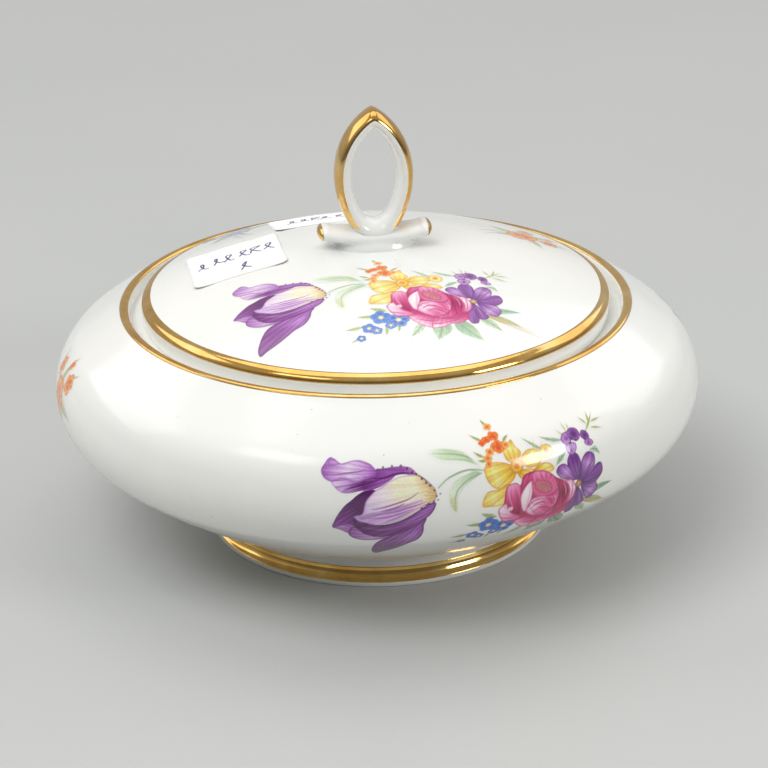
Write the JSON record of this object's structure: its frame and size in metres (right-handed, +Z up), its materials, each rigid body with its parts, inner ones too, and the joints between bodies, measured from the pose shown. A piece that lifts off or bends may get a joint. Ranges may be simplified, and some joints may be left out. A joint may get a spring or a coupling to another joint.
{
  "type": "porcelain trinket box",
  "caption": "Squat round lidded porcelain box on a foot ring, with gilt edges, printed flower sprays and an upright ribbon-loop finial on the lift-off domed lid.",
  "frame": {"origin": "centre of the circle the foot stands on, at the lowest point of the foot ring", "axes": "+Z up the turning axis through the finial; +X along the flat of the finial loop, towards its right ribbon arm as seen from the side with the tulip; -Y towards the side with the main flower spray"},
  "size_m": [0.1402, 0.1402, 0.0942],
  "materials": {
    "porcelain": "clear gloss glaze over white porcelain",
    "gilding": "bright burnished gilding with light wear",
    "label_paper": "matt self-adhesive paper",
    "rose_enamel": "fired overglaze enamel",
    "tulip_enamel": "fired overglaze enamel",
    "violet_enamel": "fired overglaze enamel",
    "orange_enamel": "fired overglaze enamel",
    "yellow_enamel": "fired overglaze enamel",
    "blue_enamel": "fired overglaze enamel",
    "leaf_enamel": "fired overglaze enamel"
  },
  "bodies": {
    "bowl_body": {"bowl": "porcelain", "bowl_back_bouquet_blue_flowers": "blue_enamel", "bowl_back_bouquet_leaves": "leaf_enamel", "bowl_back_bouquet_orange_sprig": "orange_enamel", "bowl_back_bouquet_rose": "rose_enamel", "bowl_back_bouquet_tulip": "tulip_enamel", "bowl_back_bouquet_violet_flowers": "violet_enamel", "bowl_back_bouquet_yellow_flowers": "yellow_enamel", "bowl_front_bouquet_blue_flowers": "blue_enamel", "bowl_front_bouquet_leaves": "leaf_enamel", "bowl_front_bouquet_orange_sprig": "orange_enamel", "bowl_front_bouquet_rose": "rose_enamel", "bowl_front_bouquet_tulip": "tulip_enamel", "bowl_front_bouquet_violet_flowers": "violet_enamel", "bowl_front_bouquet_yellow_flowers": "yellow_enamel", "bowl_left_spray_flowers": "orange_enamel", "bowl_left_spray_leaves": "leaf_enamel", "bowl_mouth_gilding": "gilding", "bowl_right_spray_flowers": "orange_enamel", "bowl_right_spray_leaves": "leaf_enamel", "foot_gilding": "gilding", "foot_ring": "porcelain"},
    "locating_ring_body": {"lid_locating_ring": "porcelain"},
    "lid_body": {"finial_loop": "porcelain", "finial_loop_gilding": "gilding", "finial_ribbon_base": "porcelain", "finial_tip_gilding": "gilding", "front_label": "label_paper", "lid": "porcelain", "lid_blue_spray_flowers": "blue_enamel", "lid_blue_spray_leaves": "leaf_enamel", "lid_bouquet_blue_flowers": "blue_enamel", "lid_bouquet_leaves": "leaf_enamel", "lid_bouquet_orange_sprig": "orange_enamel", "lid_bouquet_rose": "rose_enamel", "lid_bouquet_tulip": "tulip_enamel", "lid_bouquet_violet_flowers": "violet_enamel", "lid_bouquet_yellow_flowers": "yellow_enamel", "lid_edge_gilding": "gilding", "lid_orange_spray_flowers": "orange_enamel", "lid_orange_spray_leaves": "leaf_enamel", "rear_label": "label_paper"}
  },
  "joints": [
    {"name": "lid_lift", "type": "slide", "parent": "bowl_body", "child": "locating_ring_body", "axis": [0, 0, 1], "range_m": [0, 0.09]},
    {"name": "lid_turn", "type": "hinge", "parent": "locating_ring_body", "child": "lid_body", "pos_m": [0, 0, 0.051], "axis": [0, 0, 1], "continuous": true}
  ]
}
